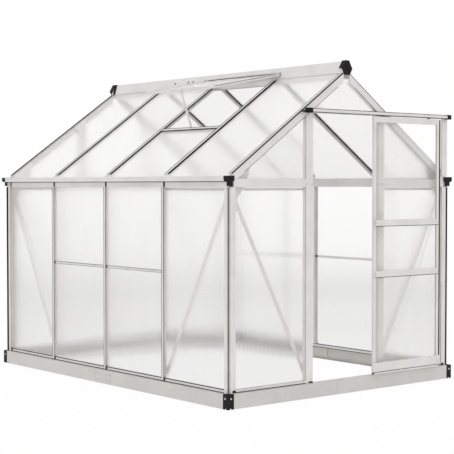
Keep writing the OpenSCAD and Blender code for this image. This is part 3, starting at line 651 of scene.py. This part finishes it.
def buildRafterSealsAndShade(s):
    bm = bmesh.new()
    n, low, wide = s["notch"], s["faceLow"], s["faceLine"]
    near, back = s["lipIn"]
    lip = [(n, n), (back, n), (near, n * 0.6), (n * 0.25, n * 0.2), (n * 0.6, near), (n, back)]
    face = flatStrip(low - wide, low, s["faceHigh"], wide * 0.2)
    inner = flatStrip(*s["innerLine"], s["high"], s["slant"][0])
    broad = flatStrip(*s["rearLine"], s["high"], s["slant"][1])
    for side in (-1, 1):
        into = intoRoof(side)
        (x, z), run = slopeRun(side, s["top"], s["foot"])
        (xFace, zFace), runFace = slopeRun(side, s["faceTop"], s["faceFoot"])
        for y, way in gables:
            addPrism(bm, lip, (x, y, z), run, (0, way, 0), into)
            addPrism(bm, face, (xFace, y, zFace), runFace, into, (0, way, 0))
            addPrism(bm, inner, (x, y, z), run, (0, way, 0), into)
        addPrism(bm, broad, (x, house["rear"], z), run, (0, -1, 0), into)
    finishPiece("rafter_seals_and_shade", bm, sealAndShadeBlack, "greenhouse")


# black round bead in the open corner of each post, sized per corner to stand in for the shade in that corner too
# (partly painted shade); values: front left, front right, rear left, rear right
cornerBeadAndShade = {"radius": (0.0023, 0.0060, 0.0075, 0.0075), "out": (0.0003, 0.0026, 0.0056, 0.0056), "sides": 14,
              "endIn": 0.001}


def buildCornerBeadsAndShade(s):
    bm = bmesh.new()
    turn = [2 * math.pi * i / s["sides"] for i in range(s["sides"])]
    corners = [(side, y, way) for y, way in gables for side in (-1, 1)]
    z0, z1 = house["baseHigh"] + s["endIn"], house["stem"] - s["endIn"]
    for (side, y, way), r, out in zip(corners, s["radius"], s["out"]):
        c = r - out
        bead = [(c + r * math.cos(a), c + r * math.sin(a)) for a in turn]
        addPrism(bm, bead, (side * house["half"], y, z0), (0, 0, z1 - z0), (-side, 0, 0), (0, way, 0))
    finishPiece("corner_post_seals_and_shade", bm, sealAndShadeBlack, "greenhouse")


# black sleeves on the rear ends of the gutters
gutterSleeve = {"out": 0.037, "long": 0.032, "low": 1.2925, "high": 1.3175, "proud": 0.0016, "past": 0.0030,
                "sunk": 0.0015, "backGap": 0.0004}


def buildGutterSleeves(s):
    bm = bmesh.new()
    p, h, low = s["proud"], s["high"] - s["low"], s["low"]
    shape = [(-s["sunk"], 0), (p * 0.6, 0), (p, h * 0.12), (p, h * 0.88), (p * 0.6, h), (-s["sunk"], h)]
    back = [(0, 0), (s["out"], 0), (s["out"], h), (0, h)]
    y = house["rear"]
    for side in (-1, 1):
        x = side * house["half"]
        outside = (x + side * s["out"], y - s["long"], low)
        addPrism(bm, shape, outside, (0, s["long"] + s["past"], 0), (side, 0, 0), upward)
        addPrism(bm, back, (x, y + s["backGap"], low), (0, s["past"], 0), (side, 0, 0), upward)
    finishPiece("gutter_sleeves", bm, plastic, "greenhouse")


buildRidgeSleeve(ridgeSleeve)
buildSillSealsAndShade(sillSealAndShade)
buildGutterShadeLip(gutterShadeLip)
buildRafterSealsAndShade(rafterSealAndShade)
buildCornerBeadsAndShade(cornerBeadAndShade)
buildGutterSleeves(gutterSleeve)
print("line seals and sleeves in")


# black end plugs of the rails between the studs, standing in for the shade in the gaps there too (partly painted
# shade), and blocks on the faces at the posts' feet
bayPlugsAndShade = {"proud": 0.0022, "eave": (1.2575, 1.2865), "sill": (0.0875, 0.1120), "atStud": 0.0060, "studLong": 0.0155,
            "rearIn": 0.042, "mid": (0.7405, 0.7565), "besideStud": 0.0155, "midLong": 0.010,
            "innerFace": 0.0090, "innerAt": 0.0045, "innerUp": 0.002,
            "postFoot": ((0.876, 0.900, 0.0885, 0.102), (0.277, 0.310, 0.0875, 0.0965)), "footSlant": 0.001}


def buildBayPlugsAndShade(s):
    bm = bmesh.new()
    p, long, slant = s["proud"], s["midLong"], s["footSlant"]

    def addPlugAndShade(side, y, low, high, w):
        shape = [(0.0, 0.0), (w, 0.0), (w, p * 0.6), (w * 0.8, p), (w * 0.15, p), (0.0, p * 0.7)]
        addPrism(bm, shape, (side * house["half"], y, low), (0, 0, high - low), (0, -1, 0), (side, 0, 0))

    inner = [(0.0, 0.0), (long * 1.4, 0.0), (long * 1.3, p), (0.0, p)]  # on the rail's inner face
    low, high = s["mid"]
    for side in (-1, 1):
        for y in (*house["bars"], house["rear"] - s["rearIn"]):
            addPlugAndShade(side, y - s["atStud"], *s["eave"], s["studLong"])
            addPlugAndShade(side, y - s["atStud"], *s["sill"], s["studLong"])
        for y in house["bars"][1:]:
            addPlugAndShade(side, y - s["besideStud"], low, high, long)
            at = (side * (house["half"] - s["innerFace"]), y - s["innerAt"], low + s["innerUp"])
            addPrism(bm, inner, at, (0, 0, high - low), (0, -1, 0), (-side, 0, 0))
        for x0, x1, foot, top in s["postFoot"]:
            block = [(0.0, 0.0), (x1 - x0, 0.0), (x1 - x0 - slant, p * 0.8), (slant, p * 0.8)]
            for y, way in gables:
                addPrism(bm, block, (side * x0, y, foot), (0, 0, top - foot), (side, 0, 0), (0, -way, 0))
    finishPiece("bay_plugs_and_shade", bm, plastic, "greenhouse")


# bolts on the gable posts, and on the gussets and braces behind them
gableBolts = {"washer": 0.0058, "thick": 0.0011, "head": 0.0042, "postX": 0.305, "tieUp": 1.2745, "tieOut": 0.020,
              "inner": 0.0322, "over": 0.0344, "brace": ((0.870, 1.210), (0.318, 0.146)),
              "plate": ((0.858, 1.285), (0.790, 1.345), (0.318, 1.2435), (0.300, 1.677), (0.346, 1.698))}


def buildGableBolts(s):
    bm = bmesh.new()
    for side in (-1, 1):
        for y, way in gables:
            for out in (-s["tieOut"], s["tieOut"]):
                addBolt(bm, (side * s["postX"] + out, y, s["tieUp"]), (0, -way, 0), s)
            for places, depth in ((s["plate"], s["inner"]), (s["brace"], s["over"])):
                for x, z in places:
                    addBolt(bm, (side * x, y + way * depth, z), (0, way, 0), s)
    finishPiece("gable_bolts", bm, boltZinc, "greenhouse")


buildBayPlugsAndShade(bayPlugsAndShade)
buildGableBolts(gableBolts)
print("plugs and gable bolts in")


# door: seal along the trailing edge
doorFace = -1.273  # front of the cross rails
doorEdge = {"x": 0.807, "front": -1.2640, "back": -1.2525, "low": 0.112, "high": 1.688, "wide": 0.0150}


def buildDoorEdge(s):
    bm = bmesh.new()
    d, w = s["back"] - s["front"], s["wide"]
    shape = [(0, 0), (0, d), (w * 0.85, d), (w, d * 0.8), (w, d * 0.2), (w * 0.85, 0)]
    addPrism(bm, shape, (s["x"], s["front"], s["low"]), (0, 0, s["high"] - s["low"]), (1, 0, 0), (0, 1, 0))
    finishPiece("door_edge_seal", bm, sealAndShadeBlack, "door")


# screws through the ends of the cross rails
doorScrews = {"washer": 0.0050, "head": 0.0036, "columns": (0.221, 0.789), "rows": (0.126, 0.714, 1.032)}


def buildDoorScrews(s):
    bm = bmesh.new()
    for x in s["columns"]:
        for z in s["rows"]:
            addScrew(bm, (x, doorFace, z), (0, -1, 0), s)
    finishPiece("door_screws", bm, boltZinc, "door")


# painted shade: black strip along the foot of each cross rail, standing in for the shade line under it; rows give
# from, to, height up, width
doorShadeLines = {"mid": 0.0004, "proud": 0.0007,
             "rows": ((0.196, 0.814, 0.1051, 0.0034), (0.215, 0.795, 0.6931, 0.0036), (0.215, 0.795, 1.0111, 0.0036))}


def buildDoorShadeLines(s):
    bm = bmesh.new()
    m, p = s["mid"], s["proud"]
    for x0, x1, z, h in s["rows"]:
        shape = [(lift, 0), (m, 0), (p, h * 0.3), (p, h * 0.7), (m, h), (lift, h)]
        addPrism(bm, shape, (x0, doorFace, z), (x1 - x0, 0, 0), (0, -1, 0), upward)
    finishPiece("door_rail_shade_lines", bm, sealAndShadeBlack, "door")


# light strip under the leaf, with its foot turned forward
doorLip = {"x": (0.2085, 0.8015), "back": 0.0025, "low": 0.0925, "high": 0.1051}


def buildDoorLip(s):
    bm = bmesh.new()
    x0, x1 = s["x"]
    h = s["high"] - s["low"]
    shape = [(0, 0), (0.0014, 0.0003), (0.0014, 0.0018), (0.0005, 0.0024),
             (0.0005, h), (-0.0006, h), (-0.0006, 0.0006)]
    addPrism(bm, shape, (x0, doorFace + s["back"], s["low"]), (x1 - x0, 0, 0), (0, -1, 0), upward)
    finishPiece("door_foot_lip", bm, alloyWide, "door")


# painted shade: black strips along the top and bottom of the door rail's face, standing in for the shade of its
# flanges
railShadeTrim = {"x": (-0.345, 0.913), "face": -1.2691, "proud": 0.0007, "rows": ((1.6973, 1.7014), (1.7187, 1.7219))}


def buildRailShadeTrim(s):
    bm = bmesh.new()
    x0, x1 = s["x"]
    for low, high in s["rows"]:
        h, p = high - low, s["proud"]
        shape = [(-lift, 0), (p * 0.7, 0), (p, h * 0.25), (p, h * 0.75), (p * 0.7, h), (-lift, h)]
        addPrism(bm, shape, (x0, s["face"], low), (x1 - x0, 0, 0), (0, -1, 0), upward)
    finishPiece("door_rail_shade_trim", bm, sealAndShadeBlack, "greenhouse")


buildDoorEdge(doorEdge)
buildDoorScrews(doorScrews)
buildDoorShadeLines(doorShadeLines)
buildDoorLip(doorLip)
buildRailShadeTrim(railShadeTrim)
print("door trim in")
